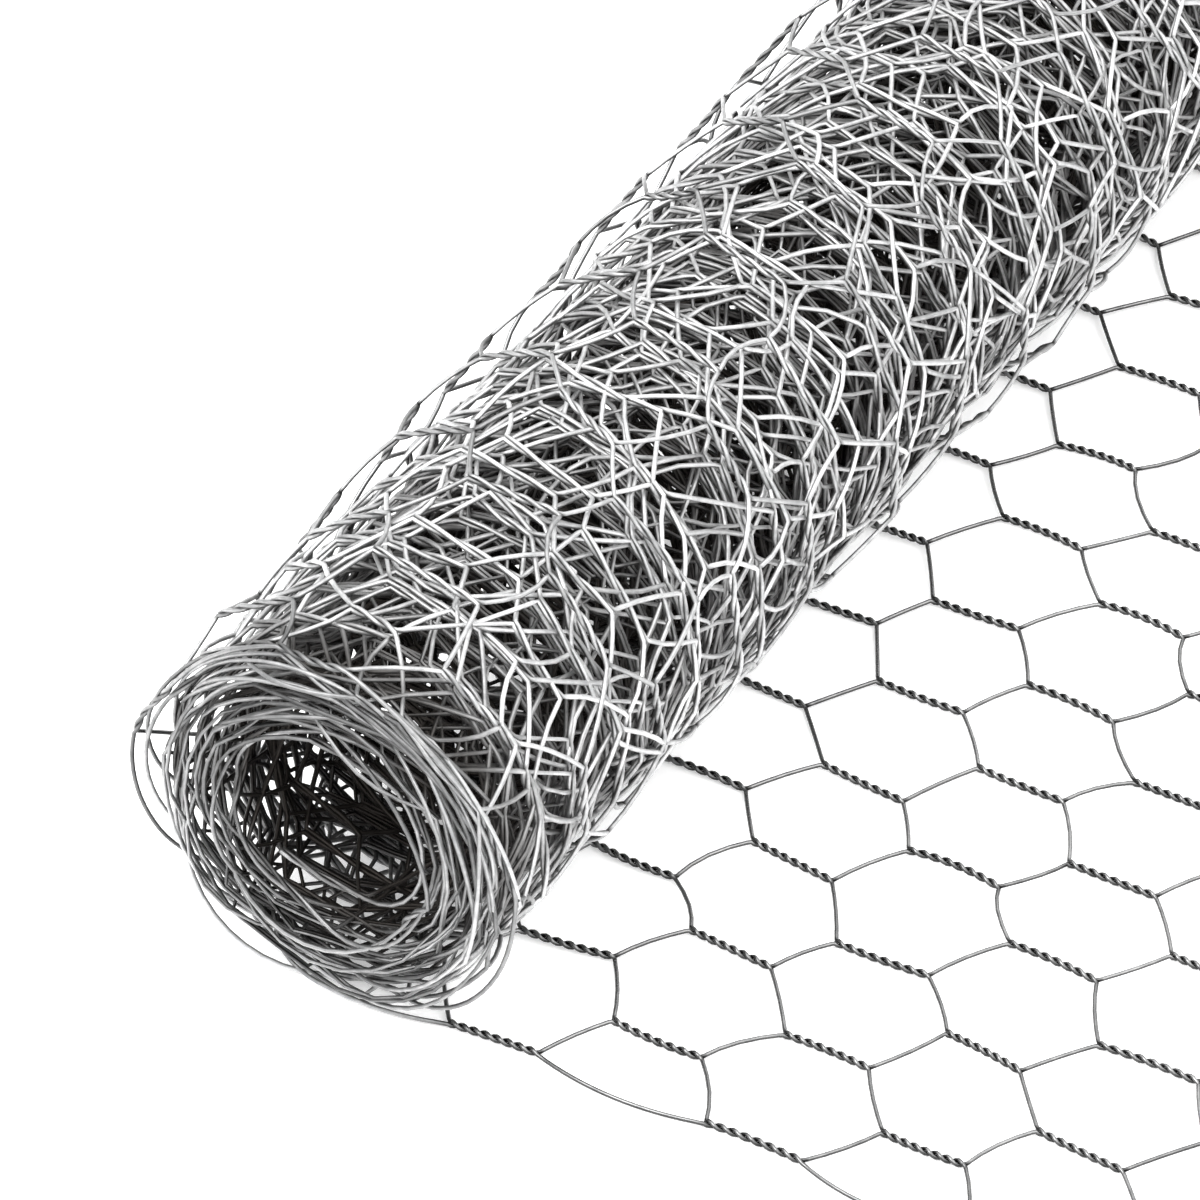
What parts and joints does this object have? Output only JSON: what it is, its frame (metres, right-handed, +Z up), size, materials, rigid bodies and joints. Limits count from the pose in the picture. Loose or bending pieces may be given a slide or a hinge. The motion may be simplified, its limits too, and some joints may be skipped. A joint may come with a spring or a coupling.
{
  "type": "roll of chicken wire",
  "caption": "Roll of hexagonal galvanised wire netting lying on its side, hollow along its axis, with its free end unrolled flat on the floor.",
  "frame": {"origin": "on the floor, under the centre of the whole object's box", "axes": "+Z up, +Y along the roll's axis away from its near end, +X the way the netting unrolls"},
  "size_m": [0.4602, 0.9112, 0.1522],
  "materials": {
    "galvanised_wire": "galvanised, satin"
  },
  "bodies": {
    "root": {"rolled_netting": "galvanised_wire", "slack_turn": "galvanised_wire", "unrolled_netting": "galvanised_wire"}
  },
  "joints": []
}
